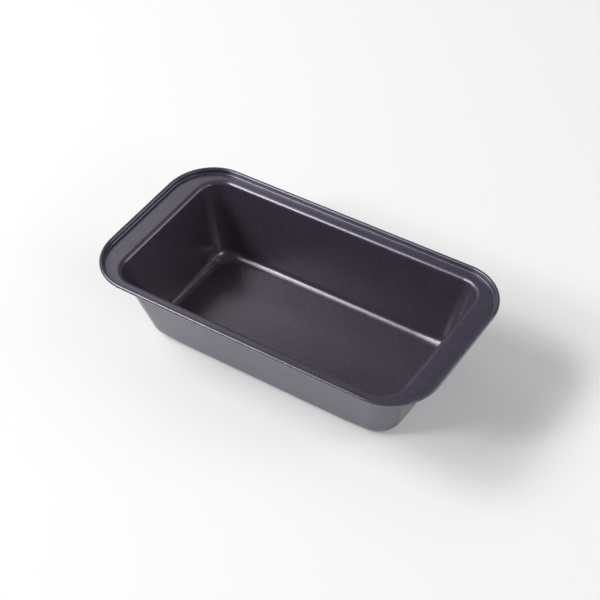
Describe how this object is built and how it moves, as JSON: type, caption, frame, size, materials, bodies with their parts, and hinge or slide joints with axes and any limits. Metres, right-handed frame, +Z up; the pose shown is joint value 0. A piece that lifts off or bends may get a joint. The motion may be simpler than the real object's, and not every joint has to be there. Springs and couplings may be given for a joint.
{
  "type": "loaf pan",
  "caption": "Rectangular loaf pan of thin coated steel with drafted walls, rounded corners, wide flat end ledges and a raised rolled rim over a wire.",
  "frame": {"origin": "centre of the flat underside of the pan, on the surface that it stands on", "axes": "+X along the length, +Y across the width, +Z up out of the open top"},
  "size_m": [0.255, 0.132, 0.0612],
  "materials": {
    "nonstick_steel": "dark grey non-stick coating, satin",
    "rim_wire_steel": "drawn, uncoated"
  },
  "bodies": {
    "root": {"pan_shell": "nonstick_steel", "rim_wire": "rim_wire_steel"}
  },
  "joints": []
}
